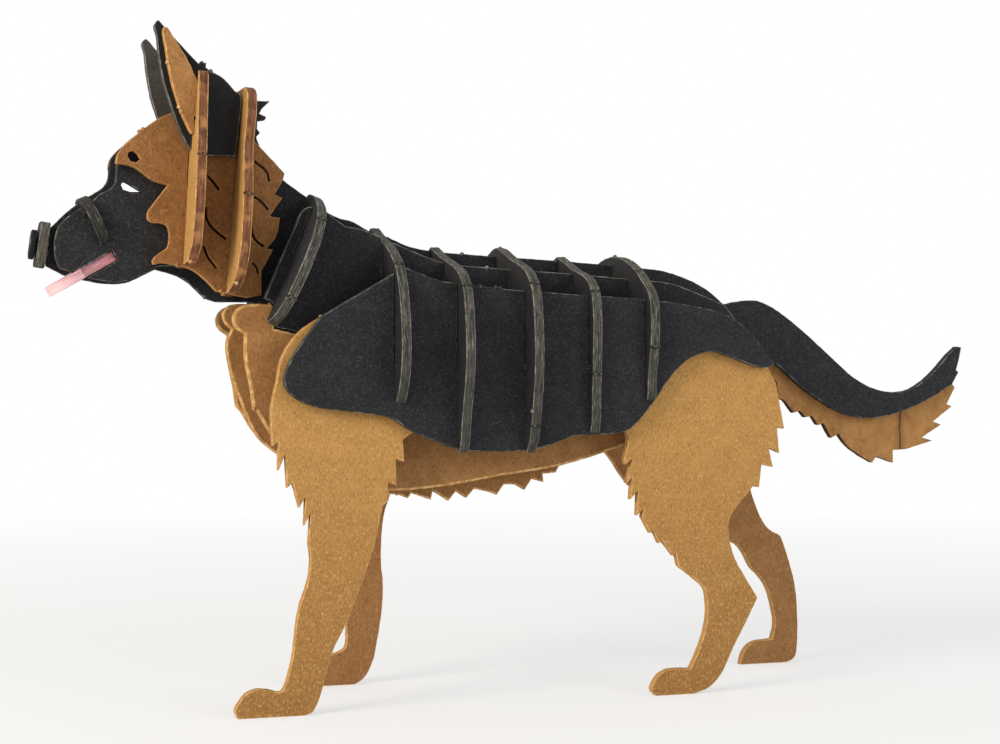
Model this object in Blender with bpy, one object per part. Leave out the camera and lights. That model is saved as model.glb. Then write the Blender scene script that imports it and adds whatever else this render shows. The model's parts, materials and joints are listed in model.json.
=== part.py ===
import math

import bmesh
import bpy
from mathutils import Matrix, Vector

# Slotted board dog, standing. Lengths are written in millimetres and turned to metres by MM.
# X runs from nose (-X) to tail (+X), the dog's left side is at -Y, and it stands on Z = 0.
MM = 0.001
ORIGIN_SHIFT = 0.42

# Board and fits
BOARD = 1.9
TIP_BOARD = 1.0
FIT = 0.15
LAP_GAP = 0.3
LAYER_GAP = 0.3
BURN_WIDTH = 0.55

# How finely a round stretch is drawn, how flat a corner is left out, and how far a cutter runs
SPLINE_STEPS = 3
FLATNESS = 0.03
REACH = 60.0
THROUGH = 3 * BOARD

# Distance of each upright layer from the centre plane
FACE_Y = 3.9
HEAD_SIDE_Y = FACE_Y + BOARD + LAYER_GAP
EAR_Y = HEAD_SIDE_Y + BOARD + LAYER_GAP
INNER_EAR_Y = EAR_Y + BOARD + LAYER_GAP
TAIL_FRINGE_Y = BOARD + LAYER_GAP
BACK_Y = 9.0
LEG_Y = 16.2
FLANK_Y = LEG_Y + BOARD + LAYER_GAP
FLANK_OUT = FLANK_Y + BOARD / 2

# Heights at which the upright layers and the ribs lap each other
BACK_SEAM_Z = 66.0
BACK_LAP_Z = 72.0
FLANK_LAP_Z = 66.0

# Cross plates: x and z of a point on the centre line, and lean of the top towards the tail
COLLAR = (-50.5, 88.0, 22.6)
CHEEK = (-70.4, 106.0, 3.4)
RUFF = (-61.9, 98.0, 4.6)
MUZZLE = (-88.7, 93.4, -25.0)
NOSE = (-98.3, 89.4, 7.8)
NOSE_TIP = (NOSE[0] - (BOARD + TIP_BOARD) / 2 - LAYER_GAP, NOSE[1], NOSE[2])

# Where their half laps meet, measured up the plate from that point
COLLAR_LAP = 0.0
RUFF_LAP = 0.0
CHEEK_LAP = -5.0
EAR_LAP = 7.0
MUZZLE_LAP = 0.0

# The right ear sits a little lower in the cheek former
RIGHT_EAR_DROP = 1.0

# The eye of the centre plate and that of the right face lie further back and higher than the left one
CENTRE_EYE_SHIFT = (0.7, 0.5)
RIGHT_EYE_SHIFT = (1.2, 0.9)

# Muzzle, and the tab on the snout that carries the two nose plates
MUZZLE_HALF = FACE_Y + 3.5
NOSE_HALF = 3.4
TIP_HALF = 2.3
TAB_HALF = 1.4
SNOUT_LOW_Z = 85.3
SNOUT_HIGH_Z = 92.7

# Tongue, hanging from the slit of the mouth: narrow inside the slit, wide from its shoulder on
TONGUE_ROOT = (-86.3, 86.6)
TONGUE_DROOP = 30.0
TONGUE_LENGTH = 12.7
TONGUE_SHOULDER = 5.6
TONGUE_WAIST = FACE_Y
TONGUE_HALF = FACE_Y + 2.2
TONGUE_INSIDE = 1.2

# Ribs: x, then the half outline down from the crest inside the back, the part that shows outside the flank
# as distance out from it and height, and the foot
RIBS = (
    (-33.0, ((0, 93.8), (5, 91.9), (12.9, 89.3), (16.2, 87.6)),
     ((0.8, 84.6), (4.2, 77), (4.9, 67), (1.4, 60)),
     ((12, 56), (0, 55))),
    (-20.5, ((0, 90.2), (5.6, 88.3), (11, 86.9), (16.6, 85.5)),
     ((0.2, 84.3), (3.2, 81.8), (5, 76.5), (5.7, 67), (3.2, 57), (0.8, 49.6)),
     ((14, 50.4), (0, 49.5))),
    (-6.7, ((0, 90.3), (2, 90), (9.5, 87.6), (17.8, 85.4)),
     ((1.2, 83.9), (3.7, 81.4), (5, 77.5), (5.9, 68.5), (4.7, 59), (0.8, 49.4)),
     ((14, 50.2), (0, 49.5))),
    (6.6, ((0, 88.7), (4.5, 87.2), (10, 85.5), (15.7, 84.2)),
     ((-1, 82.9), (1, 81), (2.2, 77), (2.2, 69.5), (1.7, 61), (0.6, 53.2)),
     ((14, 52.4), (0, 52))),
    (18.6, ((0, 88.9), (5.9, 88.2), (13, 85.8), (17, 83.4)),
     ((0.6, 81.3), (2.3, 79), (2.9, 75), (2.5, 70), (1.2, 64), (0.6, 59.6)),
     ((14, 58), (0, 57))),
)


def clear_scene():
    for item in list(bpy.data.objects):
        bpy.data.objects.remove(item, do_unlink=True)


def new_collection(name):
    collection = bpy.data.collections.new(name)
    bpy.context.scene.collection.children.link(collection)
    return collection


def board_finish(name, colour, roughness):
    finish = bpy.data.materials.new(name)
    finish.use_nodes = True
    shader = finish.node_tree.nodes["Principled BSDF"]
    shader.inputs["Base Color"].default_value = (*colour, 1.0)
    shader.inputs["Roughness"].default_value = roughness
    shader.inputs["Metallic"].default_value = 0.0
    finish.diffuse_color = (*colour, 1.0)
    return finish


# Outline helpers

def bow(*points):
    # Round stretch through the points, as a centripetal Catmull-Rom curve, ends included
    knots = [Vector(point) for point in points]
    knots.insert(0, 2 * knots[0] - knots[1])
    knots.append(2 * knots[-1] - knots[-2])
    curve = [tuple(knots[1])]
    for p0, p1, p2, p3 in zip(knots, knots[1:], knots[2:], knots[3:]):
        t1 = math.sqrt((p1 - p0).length)
        t2 = t1 + math.sqrt((p2 - p1).length)
        t3 = t2 + math.sqrt((p3 - p2).length)
        for step in range(1, SPLINE_STEPS + 1):
            t = t1 + (t2 - t1) * step / SPLINE_STEPS
            a1 = p0.lerp(p1, t / t1)
            a2 = p1.lerp(p2, (t - t1) / (t2 - t1))
            a3 = p2.lerp(p3, (t - t2) / (t3 - t2))
            b1 = a1.lerp(a2, t / t2)
            b2 = a2.lerp(a3, (t - t1) / (t3 - t1))
            curve.append(tuple(b1.lerp(b2, (t - t1) / (t2 - t1))))
    return curve


def thinned(points):
    # Leaves out points that lie on the straight line between their neighbours
    kept = list(points)
    index = 0
    while index < len(kept) and len(kept) > 3:
        before = Vector(kept[index - 1])
        here = Vector(kept[index])
        after = Vector(kept[(index + 1) % len(kept)])
        chord = after - before
        away = abs(chord.x * (here - before).y - chord.y * (here - before).x) / max(chord.length, FLATNESS)
        if away < FLATNESS:
            kept.pop(index)
        else:
            index += 1
    return kept


def mirrored(half):
    # Full outline from the half at positive Y, listed from the top down to the bottom
    return half + [(-across, height) for across, height in reversed(half) if across > FLATNESS]


def slit(*points):
    # Narrow burnt-through line of even width along the points
    half = BURN_WIDTH / 2
    line = [Vector(point) for point in bow(*points)]
    one_side = []
    other_side = []
    for index, here in enumerate(line):
        before = line[max(index - 1, 0)]
        after = line[min(index + 1, len(line) - 1)]
        along = (after - before).normalized()
        normal = Vector((-along.y, along.x))
        one_side.append(tuple(here + normal * half))
        other_side.append(tuple(here - normal * half))
    tip = line[-1] + (line[-1] - line[-2]).normalized() * half
    return one_side + [tuple(tip)] + other_side[::-1]


# Plate makers

def upright_frame(y):
    # Local x is the dog's x, local y is its height
    return Matrix.Translation((ORIGIN_SHIFT * MM, y * MM, 0)) @ Matrix.Rotation(math.radians(90), 4, "X")


def cross_frame(place):
    # Local x is the dog's y, local y runs up the plate, local z is its thickness
    x, z, lean = place
    sine = math.sin(math.radians(lean))
    cosine = math.cos(math.radians(lean))
    middle = (x + ORIGIN_SHIFT) * MM
    return Matrix(((0, sine, cosine, middle), (1, 0, 0, 0), (0, cosine, -sine, z * MM), (0, 0, 0, 1)))


def plate(name, outline, frame, finish, holes=(), board=BOARD):
    curve = bpy.data.curves.new(name, "CURVE")
    curve.dimensions = "2D"
    curve.fill_mode = "BOTH"
    curve.extrude = board / 2 * MM
    for loop in (outline, *holes):
        points = thinned(loop)
        spline = curve.splines.new("POLY")
        spline.points.add(len(points) - 1)
        for knot, (across, up) in zip(spline.points, points):
            knot.co = (across * MM, up * MM, 0, 1)
        spline.use_cyclic_u = True
    source = bpy.data.objects.new(name + "_curve", curve)
    DOG.objects.link(source)
    source.matrix_world = frame
    bpy.context.view_layer.update()
    graph = bpy.context.evaluated_depsgraph_get()
    mesh = bpy.data.meshes.new_from_object(source.evaluated_get(graph))
    shell = bmesh.new()
    shell.from_mesh(mesh)
    bmesh.ops.remove_doubles(shell, verts=shell.verts, dist=0.000001)
    bmesh.ops.recalc_face_normals(shell, faces=shell.faces)
    shell.to_mesh(mesh)
    shell.free()
    mesh.name = name
    mesh.materials.clear()
    mesh.materials.append(finish)
    piece = bpy.data.objects.new(name, mesh)
    DOG.objects.link(piece)
    piece.matrix_world = source.matrix_world
    bpy.data.objects.remove(source, do_unlink=True)
    bpy.data.curves.remove(curve)
    return piece


def cut(piece, frame, centre, size):
    # Takes a box out of the piece; centre and size are in the frame's own axes
    mesh = bpy.data.meshes.new("cutter")
    box = bmesh.new()
    bmesh.ops.create_cube(box, size=1.0, matrix=Matrix.Diagonal((*[side * MM for side in size], 1.0)))
    box.to_mesh(mesh)
    box.free()
    cutter = bpy.data.objects.new(piece.name + "_slot", mesh)
    CUTTERS.objects.link(cutter)
    cutter.matrix_world = frame @ Matrix.Translation([value * MM for value in centre])
    cutter.hide_render = True
    cutter.display_type = "WIRE"
    boolean = piece.modifiers.new("slot", "BOOLEAN")
    boolean.operation = "DIFFERENCE"
    boolean.solver = "EXACT"
    boolean.object = cutter


def open_slot(piece, frame, across, level, side, size):
    # Slot from just short of the lap's level out through the edge, upwards for side 1 and downwards for -1
    width, depth = size
    cut(piece, frame, (across, level + side * (REACH - LAP_GAP) / 2, 0), (width, REACH, depth))


def lap(cross, place, uprights, across, level, side, stack=BOARD):
    # Half lap of a cross plate with one upright plate or a stack of them; side is the way its own slot opens
    frame = cross_frame(place)
    open_slot(cross, frame, across, level, side, (stack + 2 * FIT, THROUGH))
    for upright in uprights:
        open_slot(upright, frame, across, level, -side, (stack + 2 * BOARD, BOARD + 2 * FIT))


def crosses(upright, place):
    # Whether an upright plate reaches the cross plate's place at all
    reach = [corner[0] / MM for corner in upright.bound_box]
    return min(reach) < place[0] + BOARD and max(reach) > place[0] - BOARD


def each_side():
    return (("left", -1), ("right", 1))


# Centre plane: one black profile from snout to tail, and the tan keel under it

SEAM = [(-56.0, 78.6), (-55.1, 77.6), (-55.1, 73.6), (-51, 72.7), (-46, 69.5), (-42, BACK_SEAM_Z)]


def seam_above():
    return [(x, z + LAP_GAP / 2) for x, z in SEAM]


def seam_below():
    return [(x - LAP_GAP, z - LAP_GAP / 2) for x, z in reversed(SEAM)]


def eye(shift=(0, 0)):
    lid = bow((-84.2, 100.4), (-83.9, 101.2), (-83.2, 101.3))
    lower = bow((-82.4, 99.2), (-83.8, 99.6))
    return [(x + shift[0], z + shift[1]) for x, z in lid + [(-79.7, 99.3)] + lower]


def behind_nose(z):
    # Point of the snout's front edge at height z, one gap behind the nose plate
    x, nose_z, lean = NOSE
    tilt = math.radians(lean)
    return (x + (z - nose_z) * math.tan(tilt) + (BOARD / 2 + LAYER_GAP) / math.cos(tilt), z)


def spine_profile():
    tab_low = NOSE[1] - TAB_HALF
    tab_high = NOSE[1] + TAB_HALF
    tab_end = NOSE_TIP[0] - TIP_BOARD / 2
    snout = [behind_nose(SNOUT_LOW_Z), behind_nose(tab_low), (tab_end, tab_low), (tab_end, tab_high),
             behind_nose(tab_high)]
    brow = bow(behind_nose(SNOUT_HIGH_Z), (-93.4, 95.9), (-89.8, 98.6), (-86.9, 100.5), (-85.9, 102.2),
               (-85.8, 104.3), (-85.3, 106.2), (-83.8, 107.9), (-81.2, 110.0), (-76, 113), (-70, 116.5),
               (-63, 118.6))
    nape = [(-59, 119), (-57, 118.3), (-54.5, 118.3), (-56.1, 116.7), (-56.6, 115.8), (-55.2, 115.2),
            (-55.5, 114.6), (-57, 114.3), (-57, 112.8), (-56.4, 112)]
    back = bow((-57.2, 111.2), (-55, 106), (-51.7, 102.8), (-46.5, 99.2), (-43.3, 96.9), (-40.2, 95.5),
               (-37.8, 95), (-34.5, 93.2), (-30.5, 92), (-26.7, 90.4), (-21.9, 89.4), (-9.4, 88.6),
               (4.5, 87.9), (14, 87.3), (24.9, 86.5), (29.3, 86), (35.3, 84.1), (39.2, 82.1), (43, 79.1))
    tail_top = bow((43, 79.1), (46.1, 79.8), (50.7, 80), (54.4, 78.5), (58.7, 75.7), (63.8, 71.7),
                   (69.7, 66.7), (73.6, 63.6), (78.4, 61.2), (83.2, 60.4), (87.6, 61), (92.5, 64.1),
                   (96.9, 68.6), (99, 70.3))
    tail_tip = [(100.1, 70.2), (99.5, 67.4), (98.8, 65.2), (99.4, 64.7)]
    tail_under = bow((97.8, 62), (91.1, 58.4), (83.6, 55.7), (77.9, 54.8), (71.5, 55.7), (62.1, 60.9),
                     (55.1, 66.6), (49, 69), (44, BACK_SEAM_Z + LAP_GAP / 2))
    throat = bow((-65.2, 78.7), (-67.4, 79.6), (-70.1, 82.1), (-72.7, 83.7), (-76.9, 84.9))
    jaw = bow((-76.9, 84.9), (-80, 83.3), (-82.7, 82.2), (-86.1, 82), (-90.3, 82.6), (-94.3, 83.6))
    return (snout + brow + nape + back + tail_top[1:] + tail_tip + tail_under + seam_above()[::-1] + throat
            + jaw[1:])


def keel_outline():
    head = bow((-56.4, 78.1), (-60, 78.4), (-62.6, 78), (-63.9, 76.4), (-63.2, 74.4), (-62, 73.4))
    chest = bow((-62, 73.4), (-63.1, 70.8), (-62.6, 66.5), (-61.2, 61.8), (-59.3, 57), (-56.9, 52.2),
                (-52.9, 48.8), (-46, 45))
    belly = [(-40, 42), (-34, 40.6), (-28.4, 40.4), (-26.3, 39.6), (-25.6, 40.6), (-21.5, 39.2), (-21.1, 41),
             (-17.8, 38.9), (-16.2, 40.8), (-14, 39.4), (-12.4, 41.2), (-9.5, 40.6), (-7.5, 39.9), (-6, 42),
             (-3.5, 41.9), (-1.5, 40.8), (0, 43), (2.6, 42.3), (2.4, 44), (5.2, 44.2), (6, 45.5)]
    loin = bow((6, 45.5), (16, 48.6), (24, 52), (31, 56.5), (34, 62)) + [(34, BACK_SEAM_Z - LAP_GAP / 2)]
    return head + chest[1:] + belly + loin[1:] + seam_below()


# Upright layers of the body, the same on both sides

def inner_back_outline():
    front = bow((-57.3, 79.2), (-54.3, 86.5), (-51.6, 92.5), (-50.2, 95.8), (-48.7, 97), (-46.9, 96.9))
    top = bow((-46.9, 96.9), (-45, 96), (-41.5, 93.5), (-38.7, 93), (-35.3, 91.8), (-22, 86.7), (-16, 86),
              (-7.5, 85.5), (4.9, 84.8), (18, 83.9), (27, 83.1), (32, 81.5), (38.9, 78.8))
    rump = bow((38.9, 78.8), (42, 75), (43.5, 70), (42, BACK_SEAM_Z + LAP_GAP / 2))
    return front + top[1:] + rump[1:] + seam_above()[::-1]


def brisket_outline():
    head = bow((-56.4, 78.1), (-59.4, 78.2), (-62.2, 77.6), (-63.5, 75.6), (-63, 73.6), (-61.2, 72.3))
    chest = bow((-61.2, 72.3), (-61.2, 67.8), (-60.2, 62.6), (-59.5, 58))
    chest += bow((-58.6, 57.2), (-56, 53), (-52, 49), (-46, 45.6))
    belly = bow((-46, 45.6), (-39, 42.6), (-32.4, 41.7), (-21, 42.5), (-9.6, 44.3), (2.5, 46), (13, 48.8),
                (22, 52), (30, 56), (34, 62))
    return head + chest[1:] + belly[1:] + [(34, BACK_SEAM_Z - LAP_GAP / 2)] + seam_below()


def flank_outline():
    top = bow((-32, 85.2), (-25, 82.7), (-18.3, 81.9), (-10.4, 81.1), (2.6, 80.3), (16, 79.6), (25.8, 78.6),
              (30, 77.9), (33.7, 77), (36.8, 75.7), (39.9, 73.6), (42.6, 70.6), (45.8, 66.6))
    haunch = bow((45.8, 66.6), (44.6, 65.9), (41.8, 66.1), (38.7, 67.1), (34.9, 68.5), (31.9, 69.1),
                 (28.2, 68.3), (25.1, 66.2), (22.7, 63.7), (19.1, 58.7), (16, 55.2), (13.4, 53.3),
                 (8.8, 52.7), (2.6, 52.5), (-1.4, 51.1), (-5.9, 50), (-13.4, 49.6), (-19.8, 50),
                 (-24, 51.2), (-30.9, 53.9), (-34.5, 56.3), (-38.4, 57.1))
    shoulder = bow((-38.4, 57.1), (-44.7, 57.8), (-49.3, 58.5), (-52.8, 59.9), (-54.8, 61.7), (-55.4, 63.7),
                   (-54.7, 66.3), (-52.8, 69.5), (-48.4, 75.6))
    return top + haunch[1:] + shoulder[1:]


# Legs: four different outlines, the left pair stepping forward

def foreleg_left_outline():
    shoulder = bow((-48, 75.6), (-51.7, 73.1), (-54.1, 70.4), (-55.7, 67.2), (-56.4, 63.4), (-57.4, 59),
                   (-57.5, 55), (-57.2, 51.2))
    mane = [(-56.1, 52), (-56.1, 46.5), (-54.8, 49.6), (-54.4, 43.2), (-53.4, 44.2), (-52.1, 39.4),
            (-50.9, 41.4), (-51.1, 36), (-49.9, 38.4)]
    shin = bow((-50.3, 32.5), (-49.9, 29.5), (-50.5, 25), (-51.8, 21.3), (-52.6, 17.5), (-53.2, 12),
               (-54.2, 7.7), (-55.5, 4.7), (-58, 5.2), (-60.2, 5.4), (-62.3, 4.6), (-63.7, 2.9),
               (-64.4, 1.4), (-63.8, 0))
    back = bow((-51, 0), (-49.4, 0.7), (-47.9, 4), (-45.8, 11.5), (-42.7, 17.7), (-39.9, 24.9), (-37.7, 31),
               (-36.5, 36), (-35.7, 39.5))
    elbow = [(-34.6, 40.4), (-34.8, 44), (-33.1, 43.2), (-33.2, 48.4), (-31.5, 47.8), (-31.8, 52)]
    hidden = bow((-31.8, 52), (-27, 56), (-25.5, 64), (-27, 73), (-34, 77.5), (-43, 77.5))
    return shoulder + mane + shin + back + elbow + hidden[1:]


def foreleg_right_outline():
    shoulder = bow((-46, 75.5), (-50, 71), (-52.3, 65), (-51, 56), (-47.6, 47))
    mane = [(-46.9, 49), (-45.5, 42), (-44.1, 44.4), (-42.5, 37), (-41.1, 39.4)]
    shin = bow((-40.6, 31), (-38.5, 24), (-36, 17.5), (-35, 11), (-35.4, 7.6), (-38, 6.4), (-41.5, 5.6),
               (-44.4, 3.6), (-45.5, 1.6), (-45, 0))
    back = bow((-33.4, 0), (-31.4, 1.2), (-29.6, 4.3), (-28.6, 8.4), (-27.5, 15.5), (-27.3, 21.5),
               (-27.7, 25), (-27.2, 34.5), (-25.5, 40))
    elbow = [(-24, 39), (-24.3, 43.6), (-22.6, 43), (-23, 48)]
    hidden = bow((-23, 48), (-22.3, 56), (-23, 64), (-26, 73), (-34, 77.5), (-41, 77.5))
    return shoulder + mane + shin + back + elbow + hidden[1:]


def hindleg_left_outline():
    rump = bow((33, 76.5), (40, 73.5), (45.3, 66), (47.2, 62.6), (47.9, 59.3), (48.6, 55.8))
    breeches = [(49.1, 53.3), (47.5, 53.6), (48, 48.4), (45.6, 49.5), (46.6, 45.5), (44, 46.1), (43.5, 41.4),
                (42.2, 41.7)]
    hock = bow((42.2, 41.7), (39.1, 38.3), (37, 35.5), (36.7, 32), (38.2, 26.8), (40.6, 22.9), (43.1, 18.9))
    heel = bow((43.1, 18.9), (40.3, 13.6), (37.7, 9), (35.1, 3.8), (32.5, 1.2), (29, 0))
    toes = bow((20.9, 0), (19.9, 1), (20.3, 2.6), (21.8, 4.4), (24, 5.2), (28.3, 5.1))
    shin = bow((28.3, 5.1), (29.6, 7.6), (31, 11), (32, 15), (32, 18.5), (31.4, 21.2), (29, 23.4),
               (25.7, 25.8))
    knee = [(25, 28.7), (24.6, 28), (23, 30), (22, 31.3), (21.5, 30.6), (20.1, 33.4), (19.6, 32.7),
            (17.8, 35.9), (18, 37.6), (16.7, 36.3), (16.9, 41.4), (15.3, 39.5), (15.6, 43.8), (14.4, 42.8),
            (15.8, 47.7), (14.2, 46.6), (13.9, 47.6)]
    thigh = bow((13.9, 47.6), (14.8, 52), (12, 60), (13.5, 70), (20, 76.5), (27, 77.5))
    return rump + breeches + hock[1:] + heel[1:] + toes + shin[1:] + knee + thigh[1:]


def hindleg_right_outline():
    rump = bow((32, 76.5), (42, 74), (50, 67), (55, 58), (57.5, 48))
    breeches = [(58.6, 44.6), (56.8, 45), (58, 40.6), (56.8, 40.6)]
    hock = bow((56.8, 38.4), (59.1, 32.6), (61.2, 29.8), (64, 28.2), (64.5, 27.2), (66.2, 22.4),
               (67.5, 17.6), (68.1, 12.5), (68, 2.4), (67.2, 0.7), (65.4, 0))
    toes = bow((54.3, 0), (54.8, 2), (55.9, 3.8), (57.7, 4.9), (62, 5.3))
    shin = bow((62, 5.3), (62.8, 8.7), (62.3, 12), (60.9, 16.6), (59.1, 19.3), (56.9, 21.4), (55.2, 24.6),
               (53.4, 26.6), (48, 28.6))
    knee = [(46.4, 31.4), (45, 29.6), (41, 33), (39.6, 31.6), (36, 36), (34.4, 34.8), (30.6, 38.4)]
    thigh = bow((30.6, 38.4), (27.5, 40.6), (22.3, 47.7), (15, 53), (11.8, 62), (13.5, 71), (20, 76.5),
                (27, 77.5))
    return rump + breeches + hock + toes + shin[1:] + knee + thigh[1:]


# Head layers, the same on both sides

def face_outline():
    front = bow((-94, 84.2), (-95.4, 84.8), (-96.1, 86.4), (-96.4, 88.8), (-96.1, 91.4), (-95.5, 92.8))
    bridge = bow((-95.5, 92.8), (-94, 94.4), (-91.5, 96.2), (-89.3, 97.6), (-88, 98.9), (-86, 99.9),
                 (-85.1, 101.1), (-84.8, 103), (-84.7, 105))
    crown = bow((-84.7, 105), (-83, 107.6), (-78, 110.5), (-66.2, 112.5))
    throat = bow((-66.2, 84.5), (-71, 85.6), (-76.9, 85.3))
    jaw = bow((-76.9, 85.3), (-79.8, 83.6), (-82.7, 82.5), (-86.1, 82.3), (-90, 82.9))
    return front + bridge[1:] + crown[1:] + throat + jaw[1:]


def head_side_outline():
    forehead = bow((-85.2, 104.6), (-85, 106), (-84.2, 107.4), (-82.6, 109), (-80.8, 110.7), (-77.9, 112.9),
                   (-76, 114), (-72, 115.4), (-66, 115.6), (-61, 112.6), (-58.5, 109.5))
    ruff = [(-52.8, 103.6), (-53.1, 102.5), (-54.8, 99.4), (-53.3, 98.8), (-55.8, 95.2), (-53.7, 95),
            (-54.1, 92.4), (-54.6, 91), (-56.4, 88.9), (-55, 88.9), (-56.2, 86.6), (-57.4, 84.6),
            (-57.4, 80)]
    chin = bow((-66.1, 80.6), (-68.8, 83.3), (-71.3, 84.9), (-74, 85.5), (-76.7, 85.9), (-78.1, 85.6),
               (-78.3, 86.2), (-77.9, 87))
    cheek = bow((-77.9, 87), (-76.8, 87.9), (-75.5, 88.9), (-75.1, 90.3), (-75.1, 91.6), (-75.6, 93),
                (-76.8, 93.5), (-78.3, 93.5), (-79.2, 94.2), (-79.2, 95.5), (-78.1, 97.2), (-75.4, 100.8))
    brow = bow((-75.4, 100.8), (-78.1, 101.5), (-80.2, 102.9), (-81.7, 104), (-83.6, 104.5))
    return forehead + ruff + [(-60, 79.4)] + chin + cheek[1:] + brow[1:]


def head_side_holes():
    brow_spot = bow((-83, 106), (-82.8, 106.8), (-82, 107), (-81.2, 106.5))
    brow_spot += [(-80.6, 105.5)] + bow((-81.4, 104.9), (-82.5, 105.1))
    return [
        brow_spot,
        slit((-58.8, 105.8), (-56.3, 103.8), (-55.9, 102.1)),
        slit((-59.2, 99.1), (-57.6, 98.2), (-56.1, 96.5)),
        slit((-59.3, 95.9), (-59.2, 92.1), (-58.5, 90.6), (-57, 89.4)),
        slit((-59.2, 86.2), (-58.3, 85.4), (-58, 84.1)),
        slit((-68, 102.9), (-66.9, 101.8), (-65.6, 100.1)),
        slit((-68.2, 96.8), (-67.9, 94.2), (-66.4, 92.3), (-64.3, 90.7)),
        slit((-68.6, 89.3), (-67.9, 87.4), (-66.2, 85.1)),
    ]


def ear_outline():
    front = bow((-76.7, 131), (-77.6, 131.7), (-78.3, 130.8), (-77.8, 128.7), (-77.6, 126), (-76.6, 120.3),
                (-75.4, 116.5), (-74.2, 112.9), (-72.7, 109.4), (-70.8, 106.4))
    nape = bow((-62.9, 106.4), (-62.2, 112), (-61.9, 118.2), (-63, 119), (-65.1, 121.2), (-67.6, 122.5))
    return front + nape + [(-68.5, 123.2), (-68.4, 124.1), (-69.3, 124.1), (-69.9, 123.8), (-73.9, 127.9)]


def inner_ear_outline():
    front = bow((-76.1, 130.1), (-76.8, 130.1), (-77, 129.2), (-76.5, 126.5), (-76.1, 123.5), (-75.2, 119.2),
                (-73.7, 114.6), (-72.4, 111.6), (-71.5, 110.2), (-71, 110.6), (-71.2, 113.5))
    tab = [(-68.9, 113.5), (-68.5, 119.9), (-70.5, 120.2)]
    return front + tab + bow((-70.5, 120.2), (-72.6, 124.6), (-74.4, 127.4))[1:]


def tail_fringe_outline():
    fringe = [(99.8, 61.3), (97.7, 57.6), (99, 57.1), (94.3, 53.8), (96.3, 53.1), (91.5, 50.3), (94.1, 49.6),
              (90, 48.4)]
    tuft = bow((90, 48.4), (87.4, 47.8), (84.4, 47.6)) + [(84.4, 44.9), (80.4, 46.3), (79.3, 45)]
    under = bow((79.3, 45), (76.5, 46.5), (73.2, 48.8), (71.1, 51.4))
    steps = [(69.4, 50.5), (67.5, 53.6), (66.2, 53.3), (64.8, 55.3), (63.2, 55), (61.9, 56.5), (60.4, 56),
             (58.3, 58.6), (56.8, 59.3), (56.3, 62.5), (54, 65.7)]
    inside = bow((54, 70), (62, 66), (71, 60), (78, 58), (88, 60.5), (97.8, 63.6))
    return fringe + tuft[1:] + under[1:] + steps + inside


# Cross plates, drawn up the plate from the point in their place value

def rib_outline(crest, outside, foot):
    beyond_flank = [(FLANK_OUT + out, height) for out, height in outside]
    return mirrored(bow(*crest, *beyond_flank, *foot))


def collar_outline():
    return mirrored(bow((0, 13), (6.5, 11.8), (16.5, 7.8), (21.2, 2), (21.6, -4.6), (19.2, -10.8),
                        (14, -14.2), (0, -15)))


def cheek_outline():
    side = bow((9, 17.2), (12.4, 15.6), (14.2, 8), (15.8, 2), (16.8, -4), (17.3, -11), (16.4, -17))
    return mirrored([(0, 17.2)] + side + bow((12, -20), (0, -21)))


def ruff_outline():
    side = bow((9, 21.8), (12.8, 20.2), (14, 15.5), (13.6, 10), (15.6, 4.6), (17.4, 0), (18.4, -6),
               (18.2, -11), (14.6, -15.6), (7, -18), (0, -18.2))
    return mirrored([(0, 21.8)] + side)


def muzzle_outline():
    rim = MUZZLE_HALF
    return mirrored(bow((0, 5.6), (0.54 * rim, 5.1), (0.89 * rim, 3.4), (rim, 1), (0.92 * rim, -1.8),
                        (0.68 * rim, -4.1), (0, -4.8)))


def nose_outline():
    rim = NOSE_HALF
    return mirrored(bow((0, 4.3), (0.62 * rim, 4.1), (0.94 * rim, 2.6), (rim, 0), (0.93 * rim, -2.8),
                        (0.6 * rim, -4.3), (0, -4.5)))


def nose_tip_outline():
    rim = TIP_HALF
    return mirrored(bow((0, 2.8), (0.64 * rim, 2.6), (0.97 * rim, 1.3), (rim, -0.4), (0.72 * rim, -2.2),
                        (0, -2.9)))


def tongue_outline():
    # From the root down, rounded at the end
    length = TONGUE_LENGTH
    rim = TONGUE_HALF
    root = [(0, TONGUE_INSIDE), (TONGUE_WAIST, TONGUE_INSIDE), (TONGUE_WAIST, -TONGUE_SHOULDER)]
    blade = bow((0.9 * rim, -TONGUE_SHOULDER), (rim, -0.6 * length), (0.95 * rim, -0.78 * length),
                (0.64 * rim, -0.95 * length), (0, -length))
    return mirrored(root + blade)


def dropped(outline, drop):
    return [(x, z - drop) for x, z in outline]


clear_scene()
DOG = new_collection("board_dog")
CUTTERS = new_collection("cutters")
BLACK = board_finish("black_board", (0.028, 0.028, 0.030), 0.85)
TAN = board_finish("tan_board", (0.50, 0.27, 0.075), 0.8)
PINK = board_finish("pink_board", (0.80, 0.36, 0.40), 0.8)

# Centre plane
spine = plate("spine_profile", spine_profile(), upright_frame(0), BLACK, [eye(CENTRE_EYE_SHIFT)])
plate("keel", keel_outline(), upright_frame(0), TAN)
plate("tail_fringe", tail_fringe_outline(), upright_frame(TAIL_FRINGE_Y), TAN)

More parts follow.
